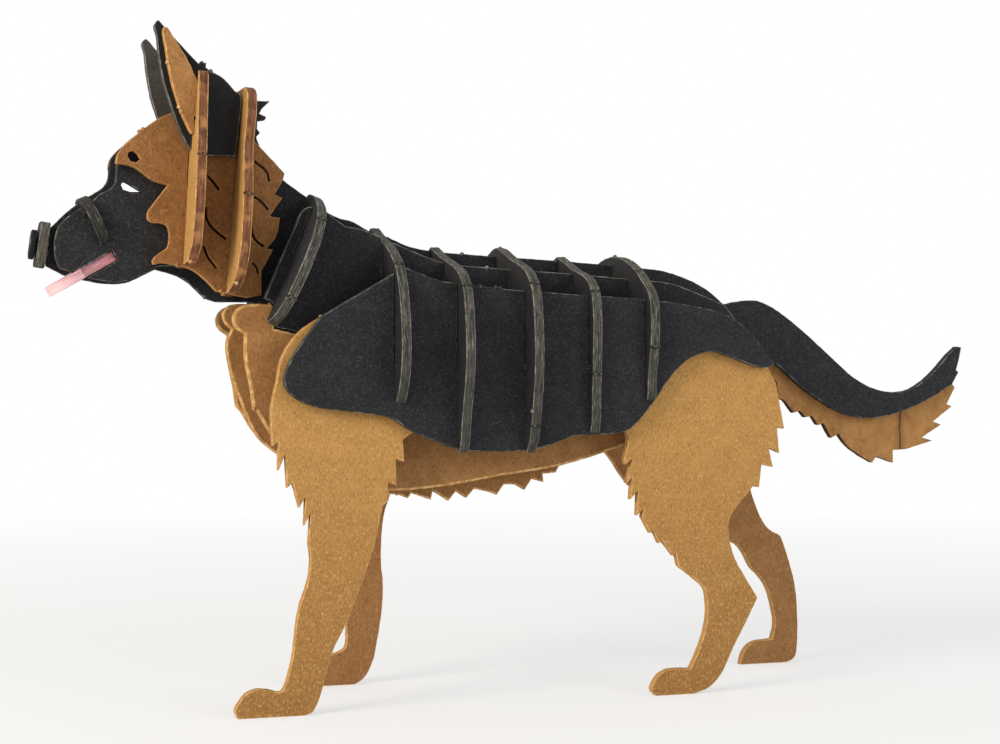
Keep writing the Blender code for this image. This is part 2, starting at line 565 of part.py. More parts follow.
# Body and head layers, each once on the left and once on the right
LEG_OUTLINES = {"left": (foreleg_left_outline, hindleg_left_outline),
                "right": (foreleg_right_outline, hindleg_right_outline)}
EAR_DROPS = {"left": 0, "right": RIGHT_EAR_DROP}
EYE_SHIFTS = {"left": (0, 0), "right": RIGHT_EYE_SHIFT}
layers = {}
for side, sign in each_side():
    fore_outline, hind_outline = LEG_OUTLINES[side]
    drop = EAR_DROPS[side]
    for name, outline, y, finish, holes in (
            ("inner_back_", inner_back_outline(), BACK_Y, BLACK, ()),
            ("brisket_", brisket_outline(), BACK_Y, TAN, ()),
            ("flank_", flank_outline(), FLANK_Y, BLACK, ()),
            ("foreleg_", fore_outline(), LEG_Y, TAN, ()),
            ("hindleg_", hind_outline(), LEG_Y, TAN, ()),
            ("face_", face_outline(), FACE_Y, BLACK, [eye(EYE_SHIFTS[side])]),
            ("head_side_", head_side_outline(), HEAD_SIDE_Y, TAN, head_side_holes()),
            ("ear_", dropped(ear_outline(), drop), EAR_Y, BLACK, ()),
            ("inner_ear_", dropped(inner_ear_outline(), drop), INNER_EAR_Y, TAN, ())):
        layers[name + side] = plate(name + side, outline, upright_frame(sign * y), finish, holes)

# Five ribs, dropped from above over spine, inner backs, flanks and legs: keel and briskets are pushed up
# the lower part of the slots that spine and inner backs leave free
UP = 1
DOWN = -1
LEG_STACK = FLANK_Y - LEG_Y + BOARD
LEG_STACK_Y = (FLANK_Y + LEG_Y) / 2
for number, (x, crest, outside, foot) in enumerate(RIBS, start=1):
    place = (x, 0, 0)
    rib = plate("rib_%d" % number, rib_outline(crest, outside, foot), cross_frame(place), BLACK)
    lap(rib, place, [spine], 0, BACK_LAP_Z, DOWN)
    for side, sign in each_side():
        stack = [layers["flank_" + side]]
        legs = (layers["foreleg_" + side], layers["hindleg_" + side])
        stack += [leg for leg in legs if crosses(leg, place)]
        lap(rib, place, [layers["inner_back_" + side]], sign * BACK_Y, BACK_LAP_Z, DOWN)
        lap(rib, place, stack, sign * LEG_STACK_Y, FLANK_LAP_Z, DOWN, LEG_STACK)

# Collar, cheek and ruff formers go on from above, and the ears drop into the cheek former
collar = plate("collar_rib", collar_outline(), cross_frame(COLLAR), BLACK)
cheek = plate("cheek_former", cheek_outline(), cross_frame(CHEEK), TAN)
ruff = plate("ruff_former", ruff_outline(), cross_frame(RUFF), TAN)
muzzle = plate("muzzle_bar", muzzle_outline(), cross_frame(MUZZLE), BLACK)
lap(collar, COLLAR, [spine], 0, COLLAR_LAP, DOWN)
lap(cheek, CHEEK, [spine], 0, CHEEK_LAP, DOWN)
lap(ruff, RUFF, [spine], 0, RUFF_LAP, DOWN)
lap(muzzle, MUZZLE, [spine], 0, MUZZLE_LAP, DOWN)
HEAD_STACK = HEAD_SIDE_Y - FACE_Y + BOARD
HEAD_STACK_Y = (HEAD_SIDE_Y + FACE_Y) / 2
EAR_STACK = INNER_EAR_Y - EAR_Y + BOARD
EAR_STACK_Y = (INNER_EAR_Y + EAR_Y) / 2
for side, sign in each_side():
    head_stack = [layers["face_" + side], layers["head_side_" + side]]
    lap(collar, COLLAR, [layers["inner_back_" + side]], sign * BACK_Y, COLLAR_LAP, DOWN)
    lap(cheek, CHEEK, head_stack, sign * HEAD_STACK_Y, CHEEK_LAP, DOWN, HEAD_STACK)
    lap(ruff, RUFF, [layers["head_side_" + side]], sign * HEAD_SIDE_Y, RUFF_LAP, DOWN)
    lap(muzzle, MUZZLE, [layers["face_" + side]], sign * FACE_Y, MUZZLE_LAP, DOWN)
    lap(cheek, CHEEK, [layers["ear_" + side], layers["inner_ear_" + side]], sign * EAR_STACK_Y, EAR_LAP, UP,
        EAR_STACK)

# Two nose plates on the snout's tab
for name, outline, place, board in (
        ("nose_plate", nose_outline(), NOSE, BOARD),
        ("nose_tip", nose_tip_outline(), NOSE_TIP, TIP_BOARD)):
    nose = plate(name, outline, cross_frame(place), BLACK, board=board)
    x, z, lean = place
    cut(nose, cross_frame((x, z, 0)), (0, 0, 0), (BOARD + 2 * FIT, 2 * (TAB_HALF + FIT), THROUGH))

# Tongue, slid from the front into a slit through spine and faces
TONGUE = (*TONGUE_ROOT, 90 - TONGUE_DROOP)
plate("tongue", tongue_outline(), cross_frame(TONGUE), PINK)
for jaw in (spine, layers["face_left"], layers["face_right"]):
    cut(jaw, cross_frame(TONGUE), (0, TONGUE_INSIDE + FIT - REACH / 2, 0),
        (2 * HEAD_SIDE_Y, REACH, BOARD + 2 * FIT))
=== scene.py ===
import json
import math

import bmesh
import bpy
from mathutils import Matrix, Vector, noise


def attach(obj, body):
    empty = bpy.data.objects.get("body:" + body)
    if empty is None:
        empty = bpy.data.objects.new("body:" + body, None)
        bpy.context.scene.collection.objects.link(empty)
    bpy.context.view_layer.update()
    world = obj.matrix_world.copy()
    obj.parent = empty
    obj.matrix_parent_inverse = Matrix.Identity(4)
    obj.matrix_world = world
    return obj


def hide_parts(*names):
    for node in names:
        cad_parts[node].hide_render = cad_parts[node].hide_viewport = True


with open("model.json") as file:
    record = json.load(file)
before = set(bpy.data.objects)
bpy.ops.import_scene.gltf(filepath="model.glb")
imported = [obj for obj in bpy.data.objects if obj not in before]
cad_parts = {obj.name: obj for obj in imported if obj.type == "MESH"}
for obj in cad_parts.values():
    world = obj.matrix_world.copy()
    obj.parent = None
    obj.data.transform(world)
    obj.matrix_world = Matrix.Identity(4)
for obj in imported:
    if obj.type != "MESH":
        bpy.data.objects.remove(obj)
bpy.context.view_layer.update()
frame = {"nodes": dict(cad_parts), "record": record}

mm = 0.001
tiny = 1e-6  # m
print("board dog: frame loaded,", len(frame["nodes"]), "plates")


# Helpers

def srgb(code):
    values = [int(code[i:i + 2], 16) / 255 for i in (1, 3, 5)]
    linear = [v / 12.92 if v <= 0.04045 else ((v + 0.055) / 1.055) ** 2.4 for v in values]
    return (*linear, 1.0)


def addNode(tree, kind, inputs=None, **settings):
    node = tree.nodes.new(kind)
    for key, value in settings.items():
        setattr(node, key, value)
    for key, value in (inputs or {}).items():
        if isinstance(value, bpy.types.NodeSocket):
            tree.links.new(value, node.inputs[key])
        else:
            node.inputs[key].default_value = value
    return node


# Board: a base colour with layers over it. A layer is (tint, pattern, size in mm, from, to, share), where the
# tint comes in as the pattern goes from one value to the other

noiseDetail = {"tint": 1.5, "bump": 2.0}
fibreWay = (1.0, 1.0, 0.4)  # the fibres of a sheet run up and down


def boardMaterial(name, look):
    material = bpy.data.materials.new(name)
    material.use_nodes = True
    tree = material.node_tree
    shader = tree.nodes["Principled BSDF"]
    shader.inputs["Roughness"].default_value = look["roughness"]
    shader.inputs["Specular IOR Level"].default_value = look["specular"]
    place = addNode(tree, "ShaderNodeTexCoord").outputs["Object"]
    inMm = addNode(tree, "ShaderNodeVectorMath", {0: place, "Scale": 1 / mm}, operation="SCALE").outputs[0]
    across = addNode(tree, "ShaderNodeAttribute", attribute_name="across").outputs["Fac"]
    scorchAndShade = addNode(tree, "ShaderNodeAttribute", attribute_name="scorchAndShade").outputs["Fac"]
    axes = addNode(tree, "ShaderNodeSeparateXYZ", {0: inMm}).outputs
    fibres = addNode(tree, "ShaderNodeVectorMath", {0: inMm, 1: fibreWay}, operation="MULTIPLY").outputs[0]
    colour = srgb(look["base"])
    for tint, pattern, size, start, end, share in look["layers"]:
        grain = {"Vector": fibres if pattern == "fibre" else inMm, "Scale": 1 / size,
                 "Detail": noiseDetail["tint"]}
        if pattern == "ply":  # streaks along the cut, one set of them for each ply of the board
            layer = addNode(tree, "ShaderNodeMath", {0: across, 1: look["plies"] * size}, operation="MULTIPLY")
            value = addNode(tree, "ShaderNodeTexNoise", {**grain, "W": layer.outputs[0]},
                            noise_dimensions="4D")
        else:
            value = addNode(tree, "ShaderNodeTexNoise", grain)
        value = value.outputs["Fac"]
        if pattern == "scorchAndShade":  # scorched unevenly, with painted shade where the cut faces back or down
            value = addNode(tree, "ShaderNodeMath", {0: value, 1: scorchAndShade}, operation="ADD").outputs[0]
        if pattern == "height":
            value = axes["Z"]
        if pattern == "foldShade":  # painted shade of a fold: a line at one x, as far from it as the size
            line = addNode(tree, "ShaderNodeMath", {0: value, 1: axes["X"]}, operation="ADD").outputs[0]
            off = addNode(tree, "ShaderNodeMath", {0: line, 1: look["foldShadeAt"]},
                          operation="SUBTRACT").outputs[0]
            value = addNode(tree, "ShaderNodeMath", {0: off}, operation="ABSOLUTE").outputs[0]
        mask = addNode(tree, "ShaderNodeMapRange", {"Value": value, "From Min": start, "From Max": end,
                                                    "To Max": share}).outputs["Result"]
        mixed = addNode(tree, "ShaderNodeMix", {0: mask, 6: colour, 7: srgb(tint)}, data_type="RGBA")
        colour = mixed.outputs[2]
    pulp = addNode(tree, "ShaderNodeTexNoise", {"Vector": inMm, "Scale": 1 / look["pulpMm"],
                                                "Detail": noiseDetail["bump"]})
    bump = addNode(tree, "ShaderNodeBump", {"Height": pulp.outputs["Fac"], "Distance": look["depthMm"] * mm,
                                            "Strength": 1.0})
    tree.links.new(colour, shader.inputs["Base Color"])
    tree.links.new(bump.outputs[0], shader.inputs["Normal"])
    return material


faceSkin = {"roughness": 0.85, "specular": 0.3, "pulpMm": 0.25, "depthMm": 0.03}
cutSkin = {"roughness": 0.9, "specular": 0.25, "pulpMm": 0.4, "depthMm": 0.1, "plies": 4.0}
boardLooks = {
    # calendered board dyed black through: near black, matt, with fine grey fibres that catch the light
    "blackDyedBoard": {**faceSkin, "base": "#1b1b1e", "layers": (
        ("#232326", "pulp", 4.0, 0.35, 0.65, 1.0),
        ("#2c2c2e", "pulp", 0.9, 0.5, 0.72, 0.45),
        ("#4a4b4e", "pulp", 0.36, 0.55, 0.7, 0.5),
        ("#0b0b0e", "pulp", 0.4, 0.53, 0.68, 0.75),
        ("#7f817f", "pulp", 0.42, 0.74, 0.82, 0.7))},
    # the near ear and the rim of the nose tip: darker, hardly any fibre shows
    "darkerBlackBoard": {**faceSkin, "base": "#131315", "layers": (
        ("#19191b", "pulp", 3.0, 0.35, 0.65, 1.0),
        ("#2e2e30", "pulp", 0.36, 0.58, 0.72, 0.4),
        ("#0a0a0c", "pulp", 0.4, 0.54, 0.7, 0.6))},
    # the far ear, where dust of the cut lies on the board: greyer and more speckled
    "dustyBoard": {**faceSkin, "base": "#343431", "layers": (
        ("#403f3b", "pulp", 3.0, 0.35, 0.65, 1.0),
        ("#55544c", "pulp", 0.35, 0.56, 0.7, 0.6),
        ("#1d1d1c", "pulp", 0.4, 0.56, 0.7, 0.7))},
    # a rib's outer face: darker than the black board low down as painted shade, lighter towards its crest as
    # painted light, with sparse pale dust flecks
    "ribLitAndShadedBoard": {**faceSkin, "base": "#17171a", "layers": (
        ("#202023", "pulp", 3.0, 0.35, 0.65, 1.0),
        ("#363635", "height", 1.0, 80.0, 91.0, 0.8),
        ("#55544c", "pulp", 0.35, 0.62, 0.74, 0.25),
        ("#0f0f11", "pulp", 0.4, 0.56, 0.7, 0.7))},
    # the tan board painted lighter, as painted light, for the faces the key lamp reaches (near legs, formers'
    # fronts): warm yellow with fine light and dark fibres, duller towards the paws
    "tanLitBoard": {**faceSkin, "base": "#ae8145", "layers": (
        ("#b6894a", "pulp", 3.5, 0.35, 0.65, 1.0),
        ("#875d30", "height", 1.0, 52.0, 0.0, 0.75),
        ("#c89a5a", "pulp", 0.8, 0.5, 0.75, 0.3),
        ("#dcb87c", "fibre", 0.26, 0.54, 0.7, 0.55),
        ("#7c562c", "fibre", 0.3, 0.54, 0.68, 0.45))},
    # the same tan board painted darker, as painted shade, for the backs of the legs and for keel, briskets and
    # inner ears, which lie deeper: browner, and darker low down
    "tanShadedBoard": {**faceSkin, "base": "#94683b", "layers": (
        ("#a27445", "pulp", 3.5, 0.35, 0.65, 1.0),
        ("#b1824e", "pulp", 0.8, 0.5, 0.75, 0.5),
        ("#7d5a38", "height", 1.0, 45.0, 0.0, 0.35),
        ("#c3965f", "fibre", 0.26, 0.56, 0.7, 0.45),
        ("#6a4829", "fibre", 0.3, 0.54, 0.68, 0.5))},
    # the same tan board painted darker and redder still, as painted shade, for the head's sides and the
    # formers' backs
    "tanDeepShadedBoard": {**faceSkin, "base": "#80562f", "layers": (
        ("#8e6137", "pulp", 2.5, 0.35, 0.65, 1.0),
        ("#a4743f", "pulp", 0.8, 0.5, 0.75, 0.5),
        ("#bc8c54", "fibre", 0.26, 0.55, 0.7, 0.5),
        ("#5c3c22", "fibre", 0.3, 0.54, 0.68, 0.45))},
    # the tail's sheet, a little darker than the legs' as painted shade, with a dark line of painted shade
    # along the fold that its thin end has taken
    "foldShadedBoard": {**faceSkin, "base": "#9c6f3e", "foldShadeAt": 87.0, "layers": (
        ("#ad7e49", "pulp", 3.5, 0.35, 0.65, 1.0),
        ("#bb8e57", "pulp", 0.8, 0.5, 0.75, 0.5),
        ("#7b552f", "pulp", 0.34, 0.58, 0.7, 0.45),
        ("#865230", "pulp", 2.4, 0.6, 0.72, 0.45),
        ("#7d5630", "foldShade", 2.0, 1.6, 0.6, 0.5),
        ("#3f2a1c", "foldShade", 2.0, 0.3, 0.12, 0.85))},
    # soft pink board
    "pinkDyedBoard": {**faceSkin, "base": "#dba0a7", "layers": (
        ("#ebb8be", "pulp", 2.5, 0.35, 0.65, 1.0),
        ("#f8dcdf", "pulp", 0.3, 0.6, 0.72, 0.4),
        ("#bd7882", "pulp", 0.34, 0.58, 0.7, 0.4))},
    # laser-cut edge of the black board: grey plies in long streaks, dark pits, a little brown tar, darker low
    # down, and uneven scorch with painted shade where the cut faces back or down
    "greyCutEdge": {**cutSkin, "base": "#55534c", "layers": (
        ("#2c2b27", "ply", 3.5, 0.44, 0.6, 0.9),
        ("#8b8a7f", "ply", 2.4, 0.58, 0.68, 0.75),
        ("#6e5f50", "pulp", 4.0, 0.55, 0.75, 0.35),
        ("#1b1a18", "pulp", 0.4, 0.62, 0.72, 0.75),
        ("#a3a297", "pulp", 0.34, 0.72, 0.8, 0.8),
        ("#32312e", "height", 1.0, 76.0, 56.0, 0.5),
        ("#262520", "scorchAndShade", 3.0, 0.85, 1.5, 0.75))},
    # edge of the centre plate and the muzzle's bar: darker than the other grey cuts
    "darkGreyCutEdge": {**cutSkin, "base": "#33322d", "layers": (
        ("#1c1b19", "ply", 3.0, 0.44, 0.6, 0.9),
        ("#6f6d62", "ply", 1.6, 0.6, 0.7, 0.7),
        ("#17161a", "pulp", 0.4, 0.6, 0.72, 0.75))},
    # edge of the tan board: ochre, turning brown where the cut faces back or down, as painted shade mixed with
    # uneven scorch
    "brownCutEdge": {**cutSkin, "base": "#c08d4e", "layers": (
        ("#936236", "ply", 4.0, 0.46, 0.62, 0.6),
        ("#d8ab6b", "ply", 2.6, 0.6, 0.7, 0.6),
        ("#6b4530", "pulp", 2.2, 0.6, 0.74, 0.5),
        ("#4b3027", "scorchAndShade", 2.5, 0.45, 0.95, 0.85))},
    # edge of the head's formers: reddish brown with dark burns across the plies
    "scorchedCutEdge": {**cutSkin, "base": "#805439", "layers": (
        ("#563628", "ply", 4.0, 0.42, 0.6, 0.85),
        ("#ad7a4f", "ply", 2.6, 0.58, 0.7, 0.65),
        ("#4a2c22", "pulp", 2.6, 0.56, 0.7, 0.65),
        ("#b98552", "pulp", 3.4, 0.52, 0.68, 0.7),
        ("#37241d", "pulp", 0.4, 0.64, 0.74, 0.5))},
    # edge of the tail's sheet: burnt nearly black all round
    "burntCutEdge": {**cutSkin, "base": "#46301f", "layers": (
        ("#2a1c16", "ply", 4.0, 0.44, 0.6, 0.8),
        ("#7a5433", "pulp", 2.0, 0.6, 0.74, 0.6))},
    # edge of the legs: pale ochre, partly a painted highlight for the lit front, with uneven scorch and
    # painted shade where it faces back or down
    "scorchedLitShadedCutEdge": {**cutSkin, "base": "#c8995b", "layers": (
        ("#8a5f3b", "ply", 4.0, 0.44, 0.6, 0.5),
        ("#5e402c", "pulp", 2.0, 0.6, 0.74, 0.45),
        ("#33231c", "scorchAndShade", 2.5, 0.5, 0.8, 0.95))},
    # edge of the pink board: pale towards the tip, with red plies
    "pinkCutEdge": {**cutSkin, "plies": 2.2, "base": "#cd868f", "layers": (
        ("#9c4a56", "ply", 6.0, 0.52, 0.6, 0.75),
        ("#f0ccd0", "ply", 5.0, 0.56, 0.68, 0.6),
        ("#f6e0e3", "height", 1.0, 86.0, 80.0, 0.75))},
    # rounded arrises: dark with rubbed patches, or rubbed pale all along
    "blackArris": {**cutSkin, "base": "#373736", "layers": (
        ("#7c7c78", "pulp", 1.6, 0.48, 0.62, 0.85),
        ("#1d1d1d", "pulp", 0.5, 0.55, 0.7, 0.7))},
    "greyArris": {**cutSkin, "base": "#5f5f59", "layers": (
        ("#8d8d85", "pulp", 1.6, 0.45, 0.6, 0.85),
        ("#232322", "pulp", 0.5, 0.58, 0.7, 0.6))},
    "brownArris": {**cutSkin, "base": "#9c7043", "layers": (
        ("#c0925c", "pulp", 1.4, 0.45, 0.6, 0.8),
        ("#5c3d2a", "pulp", 0.5, 0.58, 0.7, 0.6))},
    "ochreArris": {**cutSkin, "base": "#b98c52", "layers": (
        ("#dcb67c", "pulp", 1.4, 0.45, 0.6, 0.8),
        ("#6b4731", "pulp", 0.5, 0.6, 0.72, 0.6))},
    # stubs of the bridges that held a plate in its sheet: tar with pale crumbs
    "scorchedStub": {**cutSkin, "base": "#262420", "layers": (
        ("#6f6c60", "pulp", 0.4, 0.5, 0.65, 0.8),)},
    "brownStub": {**cutSkin, "base": "#442e22", "layers": (
        ("#9a7450", "pulp", 0.4, 0.5, 0.65, 0.8),)},
}
materials = {name: boardMaterial(name, look) for name, look in boardLooks.items()}
print("board dog: materials made")


# Plates. A look is the outer face, the inner face, the cut, the arris and the stubs. It goes by the plate's
# board, or by the last key of ownLooks that its name holds

outerFace, innerFace, cutFace, arrisFace, stubFace = range(5)
plateLooks = {
    "black_board": ("blackDyedBoard", "blackDyedBoard", "greyCutEdge", "blackArris", "scorchedStub"),
    "tan_board": ("tanShadedBoard", "tanShadedBoard", "brownCutEdge", "brownArris", "scorchedStub"),
    "pink_board": ("pinkDyedBoard", "pinkDyedBoard", "pinkCutEdge", "pinkCutEdge", "scorchedStub"),
}
# The tan plates share one board, painted lighter or darker by how much light reaches them: painted light on
# the legs' and formers' outer faces, painted shade on the rest
ownLooks = {
    "leg": ("tanLitBoard", "tanShadedBoard", "scorchedLitShadedCutEdge", "ochreArris", "scorchedStub"),
    "former": ("tanLitBoard", "tanDeepShadedBoard", "scorchedCutEdge", "ochreArris", "brownStub"),
    "head_side": ("tanDeepShadedBoard", "tanDeepShadedBoard", "brownCutEdge", "brownArris", "scorchedStub"),
    "tail_fringe": ("foldShadedBoard", "foldShadedBoard", "burntCutEdge", "brownArris", "scorchedStub"),
    "spine": ("blackDyedBoard", "blackDyedBoard", "darkGreyCutEdge", "blackArris", "scorchedStub"),
    "rib_": ("ribLitAndShadedBoard", "blackDyedBoard", "greyCutEdge", "greyArris", "scorchedStub"),
    "collar": ("blackDyedBoard", "blackDyedBoard", "greyCutEdge", "greyArris", "scorchedStub"),
    "flank": ("blackDyedBoard", "blackDyedBoard", "greyCutEdge", "blackArris", "scorchedStub"),
    "inner_back": ("blackDyedBoard", "blackDyedBoard", "greyCutEdge", "greyArris", "scorchedStub"),
    "muzzle": ("blackDyedBoard", "blackDyedBoard", "darkGreyCutEdge", "blackArris", "scorchedStub"),
    "nose_tip": ("blackDyedBoard", "blackDyedBoard", "darkerBlackBoard", "darkerBlackBoard", "scorchedStub"),
    "ear_left": ("darkerBlackBoard", "darkerBlackBoard", "greyCutEdge", "greyArris", "scorchedStub"),
    "keel": ("tanShadedBoard", "tanShadedBoard", "brownCutEdge", "ochreArris", "scorchedStub"),
    "brisket": ("tanShadedBoard", "tanShadedBoard", "brownCutEdge", "ochreArris", "scorchedStub"),
    "ear_right": ("blackDyedBoard", "dustyBoard", "greyCutEdge", "greyArris", "scorchedStub"),
    "inner_ear": ("tanShadedBoard", "tanShadedBoard", "brownCutEdge", "ochreArris", "scorchedStub"),
}
cutting = {"stepMm": 0.8, "rows": 2, "wobbleMm": 0.07, "wobbleLengthMm": 0.9, "footMm": 0.3,
           "arrisMm": 0.15, "crushedMm": {"keel": 0.35, "brisket": 0.5}, "arrisTurns": (45, 90),
           "sharpest": 0.5, "smoothTurn": 32, "shadeBack": 0.8, "shadeDown": 0.1, "weldMm": 0.002,
           "broadDot": 0.99, "sideDot": 0.9, "wallDot": 0.2, "diagonalDots": (0.02, 0.999)}

# Crumbs of burnt board and stubs of the bridges, on the cut nearest to each place in mm
leftovers = {
    "crumbMm": 0.44, "stubMm": (2.0, 0.55, 0.5), "stubBevelMm": 0.12, "ragMm": 0.07, "ragLengthMm": 0.6,
    "roundness": 2,
    "crumbs": {
        "inner_ear_left": ((-76, -11.4, 123.1), (-73.8, -11.4, 114.9), (-73.4, -11.4, 114.2)),
        "head_side_left": ((-80.9, -7, 110.9), (-80, -7, 111.6), (-73.1, -7, 85.5), (-65.2, -7, 80.7)),
        "ear_left": ((-66.9, -9.2, 122.8),),
        "face_left": ((-72.2, -4.8, 85.5), (-73.4, -4.8, 85.6)),
        "spine_profile": ((-14.3, -0.9, 89), (-66.7, -0.9, 79.5)),
        "inner_back_left": ((-11.8, -9.9, 86.1),),
        "flank_left": ((-13.5, -19.3, 81.8), (-12.8, -19.3, 81.6), (-16.3, -19.3, 81.9)),
        "rib_2": ((-20.1, -20.4, 55.6),),
        "rib_3": ((-6.3, -1.6, 90.3), (-7.2, -22.4, 58.1)),
        "rib_5": ((19, -1, 88.5),),
        "ruff_former": ((-62.9, -14.8, 80.6),),
        "cheek_former": ((-71.4, -12, 86),),
        "foreleg_left": ((-47.5, -17.1, 75.6),),
        "brisket_left": ((-59.1, -9.9, 58),),
    },
    "stubs": {
        "rib_1": ((-32.6, -18.6, 85.6),),
        "rib_2": ((-20.1, -22.7, 81.9),),
        "rib_3": ((-6.3, -22.3, 82.1), (-6.3, -24, 54.4)),
        "rib_4": ((7, -20.5, 81.2), (7, -22.2, 64.7)),
        "rib_5": ((19, -14.1, 85.3), (19, -22.2, 70.1)),
        "collar_rib": ((-47.6, -17.5, 94), (-54.5, -23.3, 77.3)),
        "ruff_former": ((-61.5, -15.9, 98.1),),
        "cheek_former": ((-70, -17, 106.2),),
        "ear_left": ((-69.2, -9.2, 124.3), (-68.6, -9.2, 123.8)),
    },
}


def isBroad(face, normal):
    return abs(face.normal.dot(normal)) > cutting["broadDot"]


def cutBand(node):
    # the cut round a plate as quads open at both rims, and the plate's normal
    band = bmesh.new()
    band.from_mesh(frame["nodes"][node].data)
    bmesh.ops.remove_doubles(band, verts=band.verts, dist=cutting["weldMm"] * mm)
    normal = max(band.faces, key=lambda face: face.calc_area()).normal.copy()
    broad = [face for face in band.faces if isBroad(face, normal)]
    bmesh.ops.delete(band, geom=broad, context="FACES")
    oblique = []
    flattest, steepest = cutting["diagonalDots"]
    for edge in band.edges:
        lean = abs((edge.verts[1].co - edge.verts[0].co).normalized().dot(normal))
        if flattest < lean < steepest and len(edge.link_faces) == 2:
            oblique.append(edge)
    bmesh.ops.dissolve_edges(band, edges=oblique, use_verts=False)
    return band, normal


def rims(band):
    return [edge for edge in band.edges if edge.is_boundary]


def divideBand(band):
    groups = {}
    for edge in rims(band):
        cuts = round(edge.calc_length() / (cutting["stepMm"] * mm)) - 1
        if cuts > 0:
            groups.setdefault(cuts, []).append(edge)
    for cuts, edges in groups.items():
        bmesh.ops.subdivide_edges(band, edges=edges, cuts=cuts)
    walls = [edge for edge in band.edges if not edge.is_boundary]
    bmesh.ops.subdivide_edges(band, edges=walls, cuts=cutting["rows"], use_grid_fill=True)
    band.normal_update()


def outward(vert):
    # way out of the cut in the board's plane, longer at a corner so that both sides move alike
    total = sum((face.normal for face in vert.link_faces), Vector())
    if total.length < tiny:
        return Vector()
    total.normalize()
    return total / max(total.dot(vert.link_faces[0].normal), cutting["sharpest"])


def roughenBand(band):
    moves = []
    for vert in band.verts:
        if vert.co.z > cutting["footMm"] * mm:
            push = noise.noise(vert.co / (cutting["wobbleLengthMm"] * mm)) * cutting["wobbleMm"] * mm
            moves.append((vert, outward(vert) * push))
    for vert, move in moves:
        vert.co += move
    band.normal_update()


def closePlate(band, normal, radius):
    # rounds both arrises and fills both faces
    heights = [vert.co.dot(normal) for vert in band.verts]
    middle = (min(heights) + max(heights)) / 2
    way = band.verts.layers.float_vector.new("way")
    corner = band.verts.layers.float_vector.new("corner")
    edges = rims(band)
    for vert in {vert for edge in edges for vert in edge.verts}:
        vert[way] = outward(vert) * radius
        vert[corner] = vert.co
        vert.co -= normal * math.copysign(radius, vert.co.dot(normal) - middle)
    for turn in cutting["arrisTurns"]:
        made = bmesh.ops.extrude_edge_only(band, edges=edges)["geom"]
        edges = [item for item in made if isinstance(item, bmesh.types.BMEdge) and item.is_boundary]
        inset = 1 - math.cos(math.radians(turn))
        sunk = radius * (1 - math.sin(math.radians(turn)))
        for vert in {vert for edge in edges for vert in edge.verts}:
            height = vert[corner].dot(normal) - middle
            vert.co = vert[corner] - vert[way] * inset - normal * math.copysign(sunk, height)
    for side in (1, -1):
        loop = [edge for edge in edges if (edge.verts[0].co.dot(normal) - middle) * side > 0]
        bmesh.ops.triangle_fill(band, edges=loop, use_beauty=True, normal=normal * side)
    bmesh.ops.recalc_face_normals(band, faces=band.faces)
    band.verts.layers.float_vector.remove(band.verts.layers.float_vector["way"])
    band.verts.layers.float_vector.remove(band.verts.layers.float_vector["corner"])
    return middle, max(heights) - middle


def finishPlate(plate, normal, middle, half):
    across = plate.verts.layers.float.new("across")
    scorchAndShade = plate.verts.layers.float.new("scorchAndShade")
    for vert in plate.verts:
        vert[across] = (vert.co.dot(normal) - middle) / half
        # painted shade: the value grows where the cut faces back (+x, away from the key lamp) or down, and
        # darkens the cut there
        way = vert.normal - normal * vert.normal.dot(normal)
        if way.length > cutting["wallDot"]:
            way.normalize()
            vert[scorchAndShade] = cutting["shadeBack"] * way.x - cutting["shadeDown"] * way.z
    outer = Vector((-1, 0, 0))
    if abs(normal.y) > cutting["sideDot"]:
        outer = Vector((0, math.copysign(1, normal.y * middle), 0))
    for face in plate.faces:
        if isBroad(face, normal):
            face.material_index = outerFace if face.normal.dot(outer) > 0 else innerFace
        else:
            face.material_index = cutFace if abs(face.normal.dot(normal)) < cutting["wallDot"] else arrisFace
        face.smooth = True
    for edge in plate.edges:
        broad = sum(isBroad(face, normal) for face in edge.link_faces) == 1
        edge.smooth = not (broad or edge.calc_face_angle(0) > math.radians(cutting["smoothTurn"]))


def rag(verts, centre):
    # pushes a leftover's points in and out
    for vert in verts:
        push = noise.noise(vert.co / (leftovers["ragLengthMm"] * mm)) * leftovers["ragMm"] * mm
        vert.co += (vert.co - centre).normalized() * push


def addCrumb(plate, spot):
    ball = bmesh.ops.create_icosphere(plate, subdivisions=leftovers["roundness"],
                                      radius=leftovers["crumbMm"] * mm,
                                      matrix=Matrix.Translation(spot))["verts"]
    rag(ball, spot)
    for face in {face for vert in ball for face in vert.link_faces}:
        face.material_index = arrisFace
        face.smooth = True


def addStub(plate, spot, way, normal, middle):
    spot = spot + normal * (middle - spot.dot(normal))
    along = normal.cross(way)
    turn = Matrix((normal, along, way)).transposed().to_4x4()
    size = Matrix.Diagonal([side * mm for side in leftovers["stubMm"]]).to_4x4()
    block = bmesh.ops.create_cube(plate, size=1.0, matrix=Matrix.Translation(spot) @ turn @ size)["verts"]
    edges = {edge for vert in block for edge in vert.link_edges}
    made = bmesh.ops.bevel(plate, geom=list(edges), offset=leftovers["stubBevelMm"] * mm,
                           segments=leftovers["roundness"], profile=0.5, affect="EDGES", material=-1)
    rag(made["verts"], spot)
    for face in {face for vert in made["verts"] for face in vert.link_faces}:
        face.material_index = stubFace
        face.smooth = True


def addLeftovers(plate, node, normal, middle):
    spots = []
    for kind in ("crumbs", "stubs"):
        for place in leftovers[kind].get(node, ()):
            aim = Vector(place) * mm
            vert = min(plate.verts, key=lambda vert: (vert.co - aim).length)
            way = vert.normal - normal * vert.normal.dot(normal)
            spots.append((kind, vert.co.copy(), way.normalized()))
    for kind, spot, way in spots:
        if kind == "crumbs":
            addCrumb(plate, spot)
        else:
            addStub(plate, spot, way, normal, middle)


